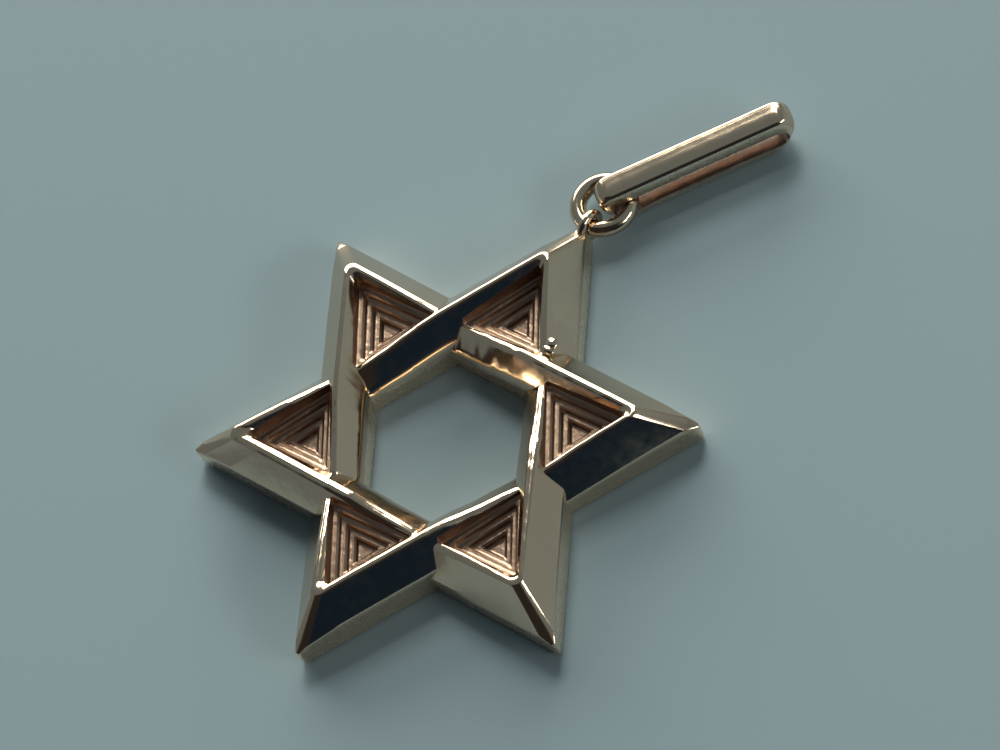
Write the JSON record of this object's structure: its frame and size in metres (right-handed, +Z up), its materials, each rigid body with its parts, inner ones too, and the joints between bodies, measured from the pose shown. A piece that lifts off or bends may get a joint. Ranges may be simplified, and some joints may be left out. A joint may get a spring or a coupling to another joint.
{
  "type": "woven star pendant with jump ring and long bail",
  "caption": "Star pendant of interlaced triangles round an open hexagon, with sunk stepped triangles in its points, a jump ring and a long slotted bail.",
  "frame": {"origin": "on the surface that the pendant lies on, under the middle of its box", "axes": "+Z up out of the star's front, +Y from the star's middle towards the hanging point, +X to the right"},
  "size_m": [0.0174, 0.0282, 0.0026],
  "materials": {
    "cast_gold": "rose gold, polished bars, matt sunk triangles",
    "wire_gold": "rose gold, polished drawn wire",
    "strip_gold": "rose gold, polished strip"
  },
  "bodies": {
    "root": {"star": "cast_gold", "jump_ring": "wire_gold", "bail": "strip_gold"}
  },
  "joints": []
}
